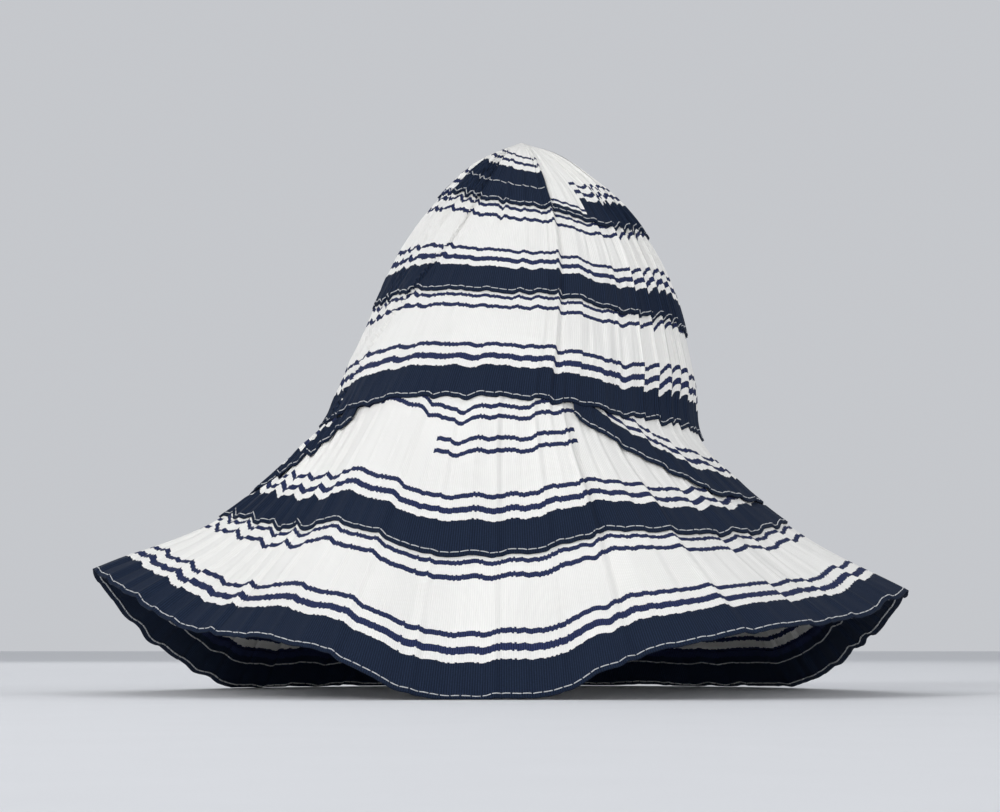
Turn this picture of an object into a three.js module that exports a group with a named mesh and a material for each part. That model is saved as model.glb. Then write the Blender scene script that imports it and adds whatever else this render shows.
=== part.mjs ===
// Sun hat sewn from lapped rows of striped ribbon, with a gathered crown and a wide drooping brim.
// Millimetres, +Z up. The front of the hat faces -Y, and it rests on its brim at z = 0.

import * as THREE from "three";
import { mergeGeometries, mergeVertices } from "three/addons/utils/BufferGeometryUtils.js";

// Head opening and crown
const HEAD_HALF_LENGTH = 98;
const HEAD_HALF_WIDTH = 82;
const CROWN_HEIGHT = 139;
const CROWN_LEAN = 6;
const CROWN_SET_BACK = 25;
const TIP_WIDTH = 60;

// Height of the crown line over the surface at the sides, and its extra rise at the front
const SEAM_HEIGHT = 110;
const SEAM_RISE = 7;

// Brim
const BRIM_REACH = 110;
const ARCH_HEIGHT = 54;
const RUFFLE_DEPTH = 1.6;
const RUFFLE_COUNT = 18;
const RUFFLE_FREE_LIFT = 0.3;

// Ribbon: the width of a brim row that shows, what the next row up hides, and the cloth
const ROW_WIDTH = 58;
const LAP = 12;
const WALL = 1;
const CLEARANCE = 0.3;

// Least width of the inner brim row beside the crescent, and how the crescent's ends are tucked
const SLIVER_WIDTH = 13;
const SLIVER_STEP = 1;
const INSERT_RAMP = 5;
const INSERT_SPARE = 5;
const INSERT_END_WIDTH = 6;

// Navy ribbon under the brim's edge
const FACING_WIDTH = 19;
const FACING_INSET = 1.5;

// Depth to which the crown's panels are flattened between the creases
const PANEL_FLATNESS = 0.4;

// Mesh fineness
const DIVISIONS = 90;
const DIVISION_ANGLE = 360 / DIVISIONS;
const MERIDIAN_STEPS = 24;
const CREASE_ROUNDING = 4;
const WELD = 1e-3;

// Colours of the cloth
const RIBBON_WHITE = 0xe8e6e1;
const RIBBON_NAVY = 0x1a2338;

// Crown sections from the tip down to the crown line: the drop as a share of the crown's height,
// the length and width as shares of the head oval's, and where the middle lies, sideways as a
// share of CROWN_LEAN and backwards as a share of CROWN_SET_BACK
const CROWN_SECTIONS = [
  { drop: 0, length: 0, width: 0, shift: 0.5, back: 1 },
  { drop: 0.06, length: 0.15, width: 0.21, shift: 0.6, back: 0.95 },
  { drop: 0.2, length: 0.32, width: 0.49, shift: 0.8, back: 0.9 },
  { drop: 0.36, length: 0.48, width: 0.69, shift: 1, back: 0.8 },
  { drop: 0.58, length: 0.69, width: 0.83, shift: 1, back: 0.5 },
  { drop: 0.81, length: 0.88, width: 0.93, shift: 0.6, back: 0.2 },
  { drop: 1, length: 1, width: 1, shift: 0, back: 0 },
];

// Folds round the hat, by angle in degrees from the front, positive to the hat's left.
// reach is a share of BRIM_REACH, lift a share of ARCH_HEIGHT and rise a share of SEAM_RISE.
// half_out and half_down say how far out and how far down the brim is halfway along.
// insert is the share of the spare brim width that the crescent takes, and tip a share of TIP_WIDTH.
const FOLDS = [
  { angle: -180, reach: 0.6, lift: 0, rise: 0.6, half_out: 0.52, half_down: 0.47, insert: 0.88, tip: 0.8 },
  { angle: -140, reach: 0.6, lift: 0, rise: 0.6, half_out: 0.52, half_down: 0.47, insert: 0.88, tip: 0.76 },
  { angle: -116, reach: 0.66, lift: 0, rise: 0.5, half_out: 0.5, half_down: 0.46, insert: 0.9, tip: 0.76 },
  { angle: -96, reach: 0.75, lift: 0.38, rise: 0.4, half_out: 0.47, half_down: 0.54, insert: 1, tip: 0.74 },
  { angle: -76, reach: 0.9, lift: 1, rise: 0.35, half_out: 0.43, half_down: 0.64, insert: 1, tip: 0.74 },
  { angle: -60, reach: 0.8, lift: 0.78, rise: 0.5, half_out: 0.45, half_down: 0.6, insert: 0.6, tip: 0.76 },
  { angle: -44, reach: 0.69, lift: 0.45, rise: 0.8, half_out: 0.46, half_down: 0.57, insert: 0.12, tip: 0.8 },
  { angle: -28, reach: 0.66, lift: 0.42, rise: 1.3, half_out: 0.47, half_down: 0.54, insert: 0, tip: 0.84 },
  { angle: -16, reach: 0.72, lift: 0.3, rise: 1.1, half_out: 0.48, half_down: 0.52, insert: 0, tip: 0.88 },
  { angle: -10, reach: 0.64, lift: 0.02, rise: 1, half_out: 0.51, half_down: 0.49, insert: 0, tip: 0.9 },
  { angle: -4, reach: 0.54, lift: 0, rise: 1, half_out: 0.53, half_down: 0.48, insert: 0, tip: 0.93 },
  { angle: 12, reach: 0.54, lift: 0, rise: 0.9, half_out: 0.53, half_down: 0.48, insert: 0, tip: 1 },
  { angle: 18, reach: 0.64, lift: 0.24, rise: 0.8, half_out: 0.51, half_down: 0.49, insert: 0, tip: 1.05 },
  { angle: 24, reach: 0.74, lift: 0.36, rise: 0.6, half_out: 0.49, half_down: 0.52, insert: 0.15, tip: 1.12 },
  { angle: 36, reach: 0.84, lift: 0.48, rise: 0.2, half_out: 0.47, half_down: 0.56, insert: 0.4, tip: 1.2 },
  { angle: 52, reach: 0.81, lift: 0.54, rise: 0, half_out: 0.46, half_down: 0.58, insert: 0.75, tip: 1.25 },
  { angle: 72, reach: 0.84, lift: 0.8, rise: 0, half_out: 0.45, half_down: 0.61, insert: 1, tip: 1.28 },
  { angle: 88, reach: 0.73, lift: 0.58, rise: -0.1, half_out: 0.46, half_down: 0.56, insert: 1, tip: 1.25 },
  { angle: 104, reach: 0.67, lift: 0.34, rise: -0.3, half_out: 0.48, half_down: 0.5, insert: 1, tip: 1.15 },
  { angle: 120, reach: 0.67, lift: 0.1, rise: 0, half_out: 0.5, half_down: 0.47, insert: 1, tip: 1.05 },
  { angle: 128, reach: 0.66, lift: 0, rise: 0.1, half_out: 0.51, half_down: 0.46, insert: 0.95, tip: 1 },
  { angle: 140, reach: 0.69, lift: 0, rise: 0.2, half_out: 0.52, half_down: 0.46, insert: 0.9, tip: 0.92 },
  { angle: 160, reach: 0.61, lift: 0, rise: 0.5, half_out: 0.52, half_down: 0.47, insert: 0.88, tip: 0.85 },
];

// Angles of the crown's creases, between which its panels are flattened
const CROWN_CREASES = [-180, -136, -96, -44, 24, 64, 104, 144, 180];

const radians = THREE.MathUtils.degToRad;
const lerp = THREE.MathUtils.lerp;
const clamp = THREE.MathUtils.clamp;

function wrapped(angle) {
  return THREE.MathUtils.euclideanModulo(angle + 180, 360) - 180;
}

// The value of one column of FOLDS on the straight line between two folds
function straightFold(column, angle) {
  const here = wrapped(angle);
  const after = FOLDS.findIndex((fold) => fold.angle > here);
  const low = FOLDS[after < 0 ? FOLDS.length - 1 : after - 1];
  const high = FOLDS[after < 0 ? 0 : after];
  const span = THREE.MathUtils.euclideanModulo(high.angle - low.angle, 360);
  return lerp(low[column], high[column], (here - low.angle) / span);
}

// The same value with each fold rounded over a few degrees
function foldValue(column, angle) {
  const before = straightFold(column, angle - CREASE_ROUNDING);
  const after = straightFold(column, angle + CREASE_ROUNDING);
  return (before + after) / 4 + straightFold(column, angle) / 2;
}

// Radius of a flat panel between two crown creases, as a share of the oval's
function panelRadius(angle) {
  const here = wrapped(angle);
  const after = Math.max(1, CROWN_CREASES.findIndex((crease) => crease > here));
  const half = radians(CROWN_CREASES[after] - CROWN_CREASES[after - 1]) / 2;
  const middle = radians(CROWN_CREASES[after] + CROWN_CREASES[after - 1]) / 2;
  return Math.cos(half) / Math.cos(radians(here) - middle);
}

function seamHeight(angle) {
  return SEAM_HEIGHT + SEAM_RISE * foldValue("rise", angle);
}

// Point of the head oval and its outward direction, both level
function ovalPoint(angle) {
  const turn = radians(angle);
  const point = new THREE.Vector3(HEAD_HALF_WIDTH * Math.sin(turn), -HEAD_HALF_LENGTH * Math.cos(turn), 0);
  const outward = new THREE.Vector3(Math.sin(turn) / HEAD_HALF_WIDTH, -Math.cos(turn) / HEAD_HALF_LENGTH, 0);
  return { point, outward: outward.normalize() };
}

function crownPoint(section, angle) {
  const seam = seamHeight(angle);
  const fullness = PANEL_FLATNESS * Math.sin(Math.PI * Math.sqrt(section.drop));
  const { point } = ovalPoint(angle);
  point.multiplyScalar(lerp(1, panelRadius(angle), fullness));
  point.x = point.x * section.width + CROWN_LEAN * section.shift;
  point.y = point.y * section.length + CROWN_SET_BACK * section.back;
  point.z = seam + (CROWN_HEIGHT + SEAM_HEIGHT - seam) * (1 - section.drop);
  return point;
}

// Point of the brim a share of its reach out from the crown line and a share of its drop down
function brimPoint(outShare, downShare, angle) {
  const { point, outward } = ovalPoint(angle);
  const seam = seamHeight(angle);
  const edge = ARCH_HEIGHT * foldValue("lift", angle);
  point.addScaledVector(outward, BRIM_REACH * foldValue("reach", angle) * outShare);
  point.z = lerp(seam, edge, downShare);
  return point;
}

// One line of the hat from the tip over the crown line to the brim's edge
function traceMeridian(angle) {
  const knots = CROWN_SECTIONS.map((section) => crownPoint(section, angle));
  knots.push(brimPoint(foldValue("half_out", angle), foldValue("half_down", angle), angle));
  knots.push(brimPoint(1, 1, angle));
  const curve = new THREE.CatmullRomCurve3(knots, false, "centripetal");
  const points = curve.getPoints(MERIDIAN_STEPS * (knots.length - 1));
  const distances = [0];
  for (let i = 1; i < points.length; i += 1) {
    distances.push(distances[i - 1] + points[i].distanceTo(points[i - 1]));
  }
  const seam = distances[MERIDIAN_STEPS * (CROWN_SECTIONS.length - 1)];
  const edge = distances[distances.length - 1];
  const tip = TIP_WIDTH * foldValue("tip", angle);
  const insert = foldValue("insert", angle) * (edge - seam - ROW_WIDTH - SLIVER_WIDTH);
  return { points, distances, tip, seam, edge, insert };
}

const meridians = new Map();

function meridianAt(angle) {
  const key = wrapped(Math.round(angle / DIVISION_ANGLE) * DIVISION_ANGLE);
  if (!meridians.has(key)) {
    meridians.set(key, traceMeridian(key));
  }
  return meridians.get(key);
}

function pointAlong(line, distance) {
  const above = line.distances.findIndex((reached) => reached >= distance);
  const end = above < 0 ? line.distances.length - 1 : Math.max(1, above);
  const start = end - 1;
  const share = (distance - line.distances[start]) / (line.distances[end] - line.distances[start]);
  return line.points[start].clone().lerp(line.points[end], share);
}

// Outward direction of the cloth, from its two neighbours round the hat and along the line
function clothNormal(angle, distance) {
  const line = meridianAt(angle);
  const share = distance / line.edge;
  const left = meridianAt(angle - DIVISION_ANGLE);
  const right = meridianAt(angle + DIVISION_ANGLE);
  const around = pointAlong(right, share * right.edge).sub(pointAlong(left, share * left.edge));
  const down = pointAlong(line, distance + LAP / 4).sub(pointAlong(line, distance - LAP / 4));
  return down.cross(around).normalize();
}

// Soft radial waves that grow from nothing at the crown line to RUFFLE_DEPTH at the edge
function ruffle(angle, distance) {
  const line = meridianAt(angle);
  const out = clamp((distance - line.seam) / (line.edge - line.seam), 0, 1);
  const free = clamp(foldValue("lift", angle) / RUFFLE_FREE_LIFT, 0, 1);
  return RUFFLE_DEPTH * free * out * out * Math.sin(radians(angle * RUFFLE_COUNT));
}

// A point of the hat: how far down the line it lies, and how far out from the cloth's inner face
function placeCloth(angle, distance, offset) {
  const line = meridianAt(angle);
  const atTip = distance < WELD;
  const normal = atTip ? new THREE.Vector3(0, 0, 1) : clothNormal(angle, distance);
  const point = pointAlong(line, distance);
  point.addScaledVector(normal, offset + ruffle(angle, distance));
  const resting = distance > line.edge - WELD && foldValue("lift", angle) < WELD;
  point.z = resting ? 0 : Math.max(point.z, offset < 0 ? CLEARANCE : 0);
  return point;
}

// Each row gives its stations down the hat and the height of each, counted in cloth walls
const STEP = WALL + CLEARANCE;
const LAPPED_STEPS = [0, 0, 0.5, 1, 1];
const FLAT_STEPS = [0, 0, 0, 0, 0, 0];

function rowStations(top, bottom) {
  return [top - LAP, top, lerp(top, bottom - LAP, 0.5), bottom - LAP, bottom];
}

function tipStations(line) {
  const hem = line.tip - LAP;
  return [0, hem / 3, (hem * 2) / 3, hem, line.tip];
}

function crownUpperStations(line) {
  return rowStations(line.tip, (line.tip + line.seam) / 2);
}

function crownLowerStations(line) {
  return rowStations((line.tip + line.seam) / 2, line.seam);
}

function brimInnerStations(line) {
  const top = line.seam + line.insert;
  const bottom = line.edge - ROW_WIDTH;
  const shown = Math.min(top, bottom - LAP - SLIVER_STEP);
  return [top - LAP, shown, (top + bottom - LAP) / 2, bottom - LAP, bottom];
}

function facingTop(line) {
  return line.edge - FACING_INSET - FACING_WIDTH;
}

function brimOuterStations(line) {
  const top = line.edge - ROW_WIDTH;
  const low = facingTop(line);
  return [top - LAP, top, (top + low) / 2, low, line.edge - LAP, line.edge];
}

function insertStations(line) {
  const hem = line.seam + line.insert - LAP;
  const ramp = Math.min(line.seam, hem - INSERT_RAMP);
  return [line.seam - LAP, ramp, lerp(ramp, hem, 0.5), hem, hem + LAP];
}

function facingStations(line) {
  return [facingTop(line), line.edge - LAP, line.edge - FACING_INSET];
}

// Where the crescent is narrow its hem lies under the crown hem, which steps out over it
function crownHemSteps(line) {
  const under = clamp((LAP + INSERT_RAMP + INSERT_SPARE - line.insert) / INSERT_RAMP, 0, 1);
  const hem = 1 + under * clamp(line.insert / INSERT_END_WIDTH, 0, 1);
  return [0, 0, hem / 2, hem, hem];
}

// A flat sheet over the stations from one angle to another, at one layer of the cloth
function sheetTemplate(rows, start, end, layer) {
  const divisions = Math.round((end - start) / DIVISION_ANGLE);
  const sheet = new THREE.PlaneGeometry(end - start, rows, divisions, rows);
  return sheet.translate((start + end) / 2, -rows / 2, layer);
}

// The narrow faces between the two layers, along one station or along one angle
function hemTemplate(start, end, station, turn) {
  const divisions = Math.round((end - start) / DIVISION_ANGLE);
  const hem = new THREE.PlaneGeometry(end - start, 1, divisions, 1).rotateX(turn);
  return hem.translate((start + end) / 2, -station, 0.5);
}

function endTemplate(rows, angle, turn) {
  return new THREE.PlaneGeometry(1, rows, 1, rows).rotateY(turn).translate(angle, -rows / 2, 0.5);
}

function turnedOver(geometry) {
  geometry.getIndex().array.reverse();
  return geometry;
}

// A flat template of one piece of cloth: x is the angle, -y counts the stations down the hat,
// and z is 0 on the inner face and 1 on the outer face
function clothTemplate(stationCount, { start = -180, end = 180, closedTip = false } = {}) {
  const rows = stationCount - 1;
  const sides = [
    sheetTemplate(rows, start, end, 1),
    turnedOver(sheetTemplate(rows, start, end, 0)),
    hemTemplate(start, end, rows, Math.PI / 2),
  ];
  if (!closedTip) {
    sides.push(hemTemplate(start, end, 0, -Math.PI / 2));
  }
  if (end - start < 360) {
    sides.push(endTemplate(rows, start, -Math.PI / 2), endTemplate(rows, end, Math.PI / 2));
  }
  return mergeGeometries(sides);
}

// Merges the shared corners of a shaped template and drops the faces that closed up at the tip
function closedBody(geometry) {
  geometry.deleteAttribute("normal");
  geometry.deleteAttribute("uv");
  const body = mergeVertices(geometry, WELD);
  const index = body.getIndex().array;
  const kept = [];
  for (let i = 0; i < index.length; i += 3) {
    const [a, b, c] = [index[i], index[i + 1], index[i + 2]];
    if (a !== b && b !== c && c !== a) {
      kept.push(a, b, c);
    }
  }
  body.setIndex(kept);
  body.computeVertexNormals();
  return body;
}

function shapeCloth(template, stations, steps, offset = 0) {
  const corners = template.getAttribute("position");
  for (let i = 0; i < corners.count; i += 1) {
    const angle = corners.getX(i);
    const row = Math.round(-corners.getY(i));
    const line = meridianAt(angle);
    const height = steps(line)[row] * STEP + Math.round(corners.getZ(i)) * WALL + offset;
    const point = placeCloth(angle, stations(line)[row], height);
    corners.setXYZ(i, point.x, point.y, point.z);
  }
  return closedBody(template);
}

// The crescent's two ends, at the first divisions where it is wide enough to sew
function crescentEnds() {
  const narrow = (angle) => meridianAt(angle).insert < INSERT_END_WIDTH;
  let start = 0;
  let end = 360;
  while (narrow(start)) {
    start += DIVISION_ANGLE;
  }
  while (narrow(end)) {
    end -= DIVISION_ANGLE;
  }
  return { start, end };
}

function clothMesh(name, geometry, color) {
  const material = new THREE.MeshStandardMaterial({ color, roughness: 0.85, metalness: 0 });
  const mesh = new THREE.Mesh(geometry, material);
  mesh.name = name;
  return mesh;
}

function ribbonRow(name, stations, steps, shape) {
  const template = clothTemplate(steps.length, shape);
  return clothMesh(name, shapeCloth(template, stations, () => steps), RIBBON_WHITE);
}

function crownLowerRow(name) {
  const template = clothTemplate(LAPPED_STEPS.length);
  return clothMesh(name, shapeCloth(template, crownLowerStations, crownHemSteps), RIBBON_WHITE);
}

function facing(name) {
  const geometry = shapeCloth(clothTemplate(3), facingStations, () => FLAT_STEPS, -STEP);
  return clothMesh(name, geometry, RIBBON_NAVY);
}

const hat = new THREE.Group();
hat.add(ribbonRow("tip_row", tipStations, LAPPED_STEPS, { closedTip: true }));
hat.add(ribbonRow("crown_upper_row", crownUpperStations, LAPPED_STEPS));
hat.add(crownLowerRow("crown_lower_row"));
hat.add(ribbonRow("brim_insert_row", insertStations, LAPPED_STEPS, crescentEnds()));
hat.add(ribbonRow("brim_inner_row", brimInnerStations, LAPPED_STEPS));
hat.add(ribbonRow("brim_outer_row", brimOuterStations, FLAT_STEPS));
hat.add(facing("brim_facing"));

// The origin is under the middle of the hat, on the surface that it rests on
const middle = new THREE.Box3().setFromObject(hat).getCenter(new THREE.Vector3());
hat.position.set(-middle.x, -middle.y, 0);

export default hat;
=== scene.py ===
"""Looks of a sun hat sewn from lapped rows of striped ribbon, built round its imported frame.

Metres, +Z up. The front of the hat faces -Y, and the brim rests on the floor at z = 0.
"""

import math

import bmesh
import bpy
import numpy as np
from bpy.props import FloatProperty, FloatVectorProperty, PointerProperty
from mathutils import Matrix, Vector


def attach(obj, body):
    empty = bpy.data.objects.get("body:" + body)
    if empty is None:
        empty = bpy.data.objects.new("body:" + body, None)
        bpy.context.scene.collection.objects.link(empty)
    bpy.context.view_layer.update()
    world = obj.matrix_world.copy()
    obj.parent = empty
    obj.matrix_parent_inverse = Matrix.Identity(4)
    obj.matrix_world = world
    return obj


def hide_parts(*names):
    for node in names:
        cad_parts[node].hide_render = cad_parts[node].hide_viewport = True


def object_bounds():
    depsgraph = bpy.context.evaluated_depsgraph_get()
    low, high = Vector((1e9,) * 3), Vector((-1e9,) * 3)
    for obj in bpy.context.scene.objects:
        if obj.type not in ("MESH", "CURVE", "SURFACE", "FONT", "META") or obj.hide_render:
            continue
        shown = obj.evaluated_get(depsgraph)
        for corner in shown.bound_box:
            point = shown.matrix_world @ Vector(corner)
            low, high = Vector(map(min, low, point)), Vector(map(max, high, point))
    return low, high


bl_info = {
    "name": "Striped Ribbon Sun Hat",
    "version": (1, 0, 0),
    "blender": (4, 5, 0),
    "location": "View3D > Sidebar > Sun Hat",
    "description": "Builds the ribbon rows, the facing and the stitching of a sun hat",
    "category": "Add Mesh",
}

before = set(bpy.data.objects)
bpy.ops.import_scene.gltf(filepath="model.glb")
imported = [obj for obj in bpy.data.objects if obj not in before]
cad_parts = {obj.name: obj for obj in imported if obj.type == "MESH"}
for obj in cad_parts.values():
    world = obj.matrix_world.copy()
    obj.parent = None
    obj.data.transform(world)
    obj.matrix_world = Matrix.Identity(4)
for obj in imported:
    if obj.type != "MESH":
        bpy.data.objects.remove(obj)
FRAME_LOW, FRAME_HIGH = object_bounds()

BODY = "root"

# Driving sizes of the hat, as in its frame
HEAD_HALF_LENGTH = 0.098
HEAD_HALF_WIDTH = 0.082
CROWN_HEIGHT = 0.139
CROWN_LEAN = 0.006
CROWN_SET_BACK = 0.025
TIP_WIDTH = 0.060
SEAM_HEIGHT = 0.110
SEAM_RISE = 0.007
BRIM_REACH = 0.110
ARCH_HEIGHT = 0.054
ROW_WIDTH = 0.058
LAP = 0.012
SLIVER_WIDTH = 0.013
SLIVER_STEP = 0.001
INSERT_RAMP = 0.005
INSERT_SPARE = 0.005
INSERT_END_WIDTH = 0.006
FACING_WIDTH = 0.019
FACING_INSET = 0.0015
PANEL_FLATNESS = 0.4

# Lights: name, place, size, spread in degrees and power. The low front fill is narrow, so
# that it lights the hat and not the floor before it.
LIGHTS = (
    ("key", (-1.3, -1.3, 1.1), 0.8, 180, 14),
    ("front_fill", (0.3, -2.3, 0.40), 0.9, 40, 1.05),
    ("right_fill", (1.7, -0.3, 0.8), 1.2, 180, 5),
    ("back_fill", (-0.6, 1.9, 1.4), 1.4, 180, 8),
)

# Fineness of the cloth: columns round the hat, and points along each line down it
COLUMNS = 900
STEPS_PER_SPAN = 40
LINE_SAMPLES = 500

# Points closer than this are made one
WELD = 1e-6

# Steps across each row of ribbon, and across the facing
ROW_STEPS = {
    "tip_row": 24,
    "crown_upper_row": 24,
    "crown_lower_row": 24,
    "brim_insert_row": 26,
    "brim_inner_row": 28,
    "brim_outer_row": 30,
}
FACING_STEPS = 12

# Crown sections from the tip to the crown line: drop, length, width, sideways and backward shift
CROWN_SECTIONS = (
    (0, 0, 0, 0.5, 1),
    (0.06, 0.15, 0.21, 0.6, 0.95),
    (0.2, 0.32, 0.49, 0.8, 0.9),
    (0.36, 0.48, 0.69, 1, 0.8),
    (0.58, 0.69, 0.83, 1, 0.5),
    (0.81, 0.88, 0.93, 0.6, 0.2),
    (1, 1, 1, 0, 0),
)
CROWN_CREASES = (-180, -136, -96, -44, 24, 64, 104, 144, 180)

# Folds round the hat by angle, in degrees from the front, positive to the hat's left. reach
# and rise, and lift in part, follow a scratch fit to points marked on the photo, rounded and
# then changed by hand. The other columns are given.
FOLD_COLUMNS = ("angle", "reach", "lift", "rise", "half_out", "half_down", "insert", "tip")
FOLDS = (
    (-180, 0.6, 0, 0.6, 0.52, 0.47, 0.88, 0.8),
    (-140, 0.6, 0, 0.6, 0.52, 0.47, 0.88, 0.76),
    (-116, 0.66, 0, 0.5, 0.5, 0.46, 0.9, 0.76),
    (-96, 0.75, 0.38, 0.4, 0.47, 0.54, 1, 0.74),
    (-76, 0.9, 1, 0.35, 0.43, 0.64, 1, 0.74),
    (-60, 0.8, 0.78, 0.5, 0.45, 0.6, 0.6, 0.76),
    (-44, 0.69, 0.45, 0.8, 0.46, 0.57, 0.12, 0.8),
    (-28, 0.66, 0.42, 1.3, 0.47, 0.54, 0, 0.84),
    (-16, 0.72, 0.3, 1.1, 0.48, 0.52, 0, 0.88),
    (-10, 0.64, 0.02, 1, 0.51, 0.49, 0, 0.9),
    (-4, 0.54, 0, 1, 0.53, 0.48, 0, 0.93),
    (12, 0.54, 0, 0.9, 0.53, 0.48, 0, 1),
    (18, 0.64, 0.24, 0.8, 0.51, 0.49, 0, 1.05),
    (24, 0.74, 0.36, 0.6, 0.49, 0.52, 0.15, 1.12),
    (36, 0.84, 0.48, 0.2, 0.47, 0.56, 0.4, 1.2),
    (52, 0.81, 0.54, 0, 0.46, 0.58, 0.75, 1.25),
    (72, 0.84, 0.8, 0, 0.45, 0.61, 1, 1.28),
    (88, 0.73, 0.58, -0.1, 0.46, 0.56, 1, 1.25),
    (104, 0.67, 0.34, -0.3, 0.48, 0.5, 1, 1.15),
    (120, 0.67, 0.1, 0, 0.5, 0.47, 1, 1.05),
    (128, 0.66, 0, 0.1, 0.51, 0.46, 0.95, 1),
    (140, 0.69, 0, 0.2, 0.52, 0.46, 0.9, 0.92),
    (160, 0.61, 0, 0.5, 0.52, 0.47, 0.88, 0.85),
)

# How a fold is rounded: turns in degrees and their weights
FOLD_ROUNDING = ((-6, 1), (-4, 2), (-2, 3), (0, 4), (2, 3), (4, 2), (6, 1))

# Main tucks by angle. crown and brim say how far the cloth steps down the hat across the
# tuck, as a share of the tuck shift, on the crown and on the brim.
TUCKS = (
    (-70, 0.8, -1.3),
    (-65, -0.9, 1.8),
    (-60, 1.2, -1.2),
    (-55.5, -0.9, 1.7),
    (-51, 0.5, -1.9),
    (-47, -0.3, 1.3),
    (-43, -2.6, -1.0),
    (-39, 0.5, 1.6),
    (-33, 0.25, -1.1),
    (-27, -0.2, 0.6),
    (-22, 0.15, -0.5),
    (-17, -0.2, 1.2),
    (-12.5, 0.1, -0.3),
    (-8, 0.2, 0.8),
    (-2, -0.1, -0.3),
    (3, 0.1, -1.2),
    (7.5, -0.15, 0.25),
    (12.5, -0.5, -0.9),
    (16.5, 1.5, -0.5),
    (20, -0.1, -2.3),
    (24, 0.2, 0.5),
    (28, 0.3, -0.7),
    (33, -0.25, 1.0),
    (38, 0.45, -0.4),
    (43, -0.3, 0.8),
    (47, 1.5, -1.0),
    (53, 2.3, 0.8),
    (58.5, 2.5, -0.8),
    (64, 2.4, 0.7),
    (70, 2.1, -0.8),
)

# How the crown's tucks lean round the hat on their way down, in degrees for each metre, by
# angle, and the distance from the tip at which they stand at their own angles
TUCK_LEANS = (
    (-180, 0),
    (-95, 0),
    (-62, 350),
    (-32, 350),
    (-6, 0),
)
LEAN_START = 0.120

# How a step of the cloth is rounded: weights of the columns round it
STEP_ROUNDING = (1, 2, 3, 2, 1)

# The raised lip of a tuck and the hollow beside it: places in half widths, and heights
RIDGE_SHAPE = ((-3, 0), (-1, 1), (1, -0.6), (3, -0.1))

# How close the other tucks stand, in degrees, and how strong they are, by angle
GATHERS = (
    (-180, 6.5, 0.7),
    (-120, 5.5, 0.8),
    (-90, 4.5, 1.0),
    (-68, 4.0, 1.1),
    (68, 4.0, 1.1),
    (90, 4.5, 1.2),
    (130, 6.0, 0.8),
)

# Degrees left free between the gathers and the main tucks, and how far the size and spacing
# of a gather stray from those of its angle
GATHER_CLEARANCE = 4
GATHER_SIZES = (0.4, 1.2)
GATHER_SPACINGS = (0.6, 1.4)

# How much of a gather's step is left on the brim, where the cloth lies flatter
BRIM_STEP_SHARE = 0.3

# How far the stripes wander up and down between the tucks, as a share of the tuck shift
DRIFT_SHARE = 0.5

# Soft creases and the stripes' wander: cells round the hat, and length of a cell down it
CRINKLE_CELLS = (150, 0.030)
FINE_CRINKLE_CELLS = (300, 0.012)
DRIFT_CELLS = (110, 0.060)
CELLS_DOWN = 64

# Depth of the fine creases as a share of the others
FINE_CRINKLE_SHARE = 0.4

# Seeds of the random draws
TUCK_SEED = 11
CRINKLE_SEED = 5

# Distance from the hat's middle at which a tuck is as wide as its setting says
TUCK_RADIUS = 0.130

# How far in from the brim's edge the tucks start to die out, and what is left of them there
EDGE_CALM = 0.045
EDGE_SHARE = 0.35

# Where below the tip the tucks come in, and how far on either side of the crown line the
# crown's tucks pass into the brim's
TIP_CALM = (0.004, 0.03)
SEAM_BLEND = 0.02

# The woven pattern of the ribbon up from its lower edge: where each band starts, and its colour
RIBBON_WIDTH = ROW_WIDTH + LAP
STRIPES = (
    (0, "navy"),
    (0.0148, "white"),
    (0.0183, "indigo"),
    (0.0213, "white"),
    (0.0249, "indigo"),
    (0.0272, "white"),
    (0.0479, "indigo"),
    (0.0503, "white"),
    (0.0544, "indigo"),
    (0.0562, "white"),
    (0.058, "navy"),
)

# Most ribbon in sight in a row: where the row is wider its weave is drawn out
SHOWN_WIDTH = 0.0577

# The inner brim row shows a pair of stripes right under the crown's hem, and at the front
# another pair below that, which starts and stops short
HEM_PAIR = (
    (0.062, "indigo"),
    (0.0642, "white"),
    (0.0677, "indigo"),
    (0.0695, "white"),
)
SHORT_PAIR = (
    (0.0455, "indigo"),
    (0.0477, "white"),
    (0.0515, "indigo"),
    (0.0536, "white"),
)
INNER_STRIPES = STRIPES[:6] + HEM_PAIR
INNER_FRONT_STRIPES = STRIPES[:6] + SHORT_PAIR + HEM_PAIR
SHORT_PAIR_ANGLES = (-12, 22)

# The tip shows one pair of stripes. At the front a second turn of the navy band lies above
# the first, sewn down at its own hem, then the band nearly runs out, and on the other side
# thin stripes take its place.
TIP_STRIPES = STRIPES[:6]
TIP_FRONT_STRIPES = (
    (0, "navy"),
    (0.0245, "white"),
    (0.028, "indigo"),
    (0.0305, "white"),
    (0.034, "indigo"),
    (0.036, "white"),
)
TIP_END_STRIPES = (
    (0, "navy"),
    (0.0045, "white"),
    (0.0065, "indigo"),
    (0.0078, "white"),
)
TIP_SIDE_STRIPES = (
    (0, "indigo"),
    (0.0025, "white"),
    (0.0065, "indigo"),
    (0.009, "white"),
    (0.0135, "indigo"),
    (0.0155, "white"),
)
TIP_FRONT_ANGLES = (-48, 16)
TIP_END_ANGLES = (16, 33)
TIP_SIDE_ANGLES = (-84, -48)
TIP_TURN = 0.0128

# Rows with a pattern of their own: its bands, and the patches with other bands by angle
PATCHES = {
    "tip_row": (TIP_STRIPES, (
        (TIP_FRONT_ANGLES, TIP_FRONT_STRIPES),
        (TIP_END_ANGLES, TIP_END_STRIPES),
        (TIP_SIDE_ANGLES, TIP_SIDE_STRIPES),
    )),
    "brim_inner_row": (INNER_STRIPES, (
        (SHORT_PAIR_ANGLES, INNER_FRONT_STRIPES),
    )),
}

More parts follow.
